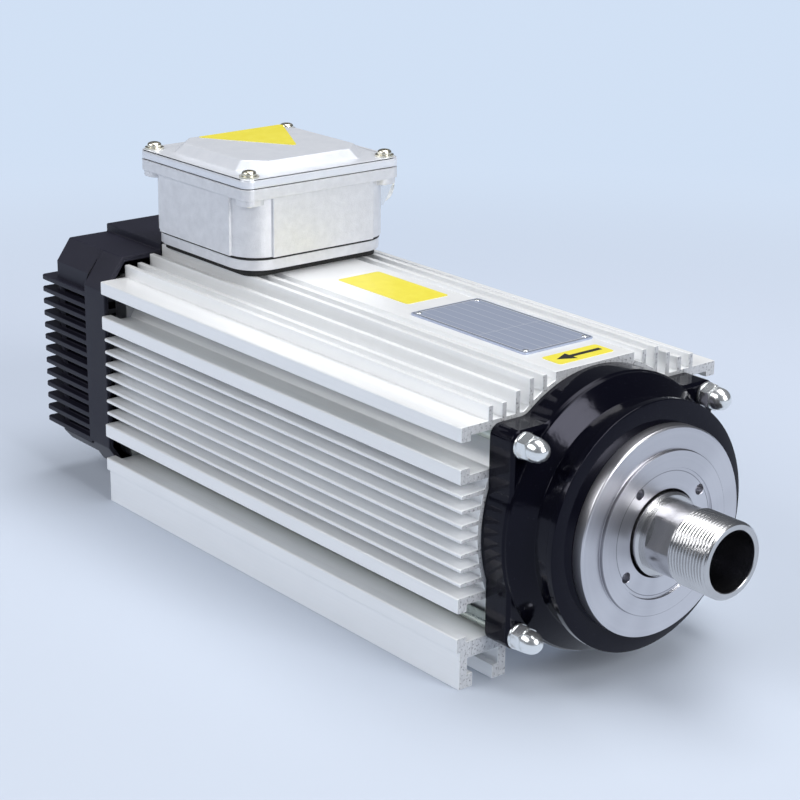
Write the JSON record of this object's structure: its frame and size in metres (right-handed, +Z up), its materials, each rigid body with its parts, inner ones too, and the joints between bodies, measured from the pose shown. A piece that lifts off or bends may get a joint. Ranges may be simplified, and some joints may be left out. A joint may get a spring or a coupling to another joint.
{
  "type": "motor spindle",
  "caption": "Square air-cooled motor spindle: finned housing on T-slot rails, threaded collet nose in front of a black flange, slatted fan cowl and terminal box.",
  "frame": {"origin": "on the surface that the rails stand on, under the middle of the overall length, on the spindle's middle plane", "axes": "+X along the spindle axis towards the nose, +Z up away from the rails, +Y to the side with the cable gland"},
  "size_m": [0.4008, 0.1422, 0.177],
  "materials": {
    "anodised_aluminium": "satin, extruded",
    "laminations": "laminated",
    "winding": "varnished",
    "gloss_black_paint": "gloss",
    "turned_steel": "turned, bright",
    "bearing_steel": "polished",
    "ground_steel": "ground",
    "cast_bracket": "as cast",
    "zinc": "zinc plated",
    "nickel": "bright nickel",
    "black_plastic": "matte",
    "black_rubber": "matte",
    "silver_cast": "fine cast texture, silver",
    "silver_lid": "smooth silver",
    "yellow_zinc": "yellow zinc plated",
    "board_plastic": "moulded",
    "brass": "bright",
    "plate_grey": "printed plate, bare",
    "rotor_cast": "as cast",
    "fan_plastic": "moulded"
  },
  "bodies": {
    "motor": {"housing_extrusion": "anodised_aluminium", "stator_core": "laminations", "stator_windings": "winding", "front_flange": "gloss_black_paint", "bearing_cap": "turned_steel", "front_bearing_outer_rings": "bearing_steel", "outer_spacer": "ground_steel", "rear_bracket": "cast_bracket", "rear_bearing_outer_ring": "bearing_steel", "wave_spring": "ground_steel", "tie_rods": "zinc", "cap_nuts": "nickel", "rear_nuts": "zinc", "fan_cowl": "black_plastic", "base_gasket": "black_rubber", "box_base_plate": "silver_cast", "box_gasket": "black_rubber", "terminal_box": "silver_cast", "lid_seal": "black_rubber", "box_lid": "silver_lid", "lid_screws": "yellow_zinc", "terminal_board": "board_plastic", "terminals": "brass", "gland_body": "black_plastic", "gland_seal": "black_rubber", "gland_nut": "black_plastic", "nameplate": "plate_grey"},
    "spindle": {"spindle_shaft": "ground_steel", "rotor_core": "laminations", "rotor_end_rings": "rotor_cast", "front_bearing_inner_rings": "bearing_steel", "inner_spacer": "ground_steel", "bearing_lock_nut": "ground_steel", "rear_bearing_inner_ring": "bearing_steel", "cooling_fan": "fan_plastic", "fan_circlip": "ground_steel"}
  },
  "joints": [
    {"name": "spindle_spin", "type": "hinge", "parent": "motor", "child": "spindle", "pos_m": [0, 0, 0.0643], "axis": [1, 0, 0], "continuous": true}
  ]
}
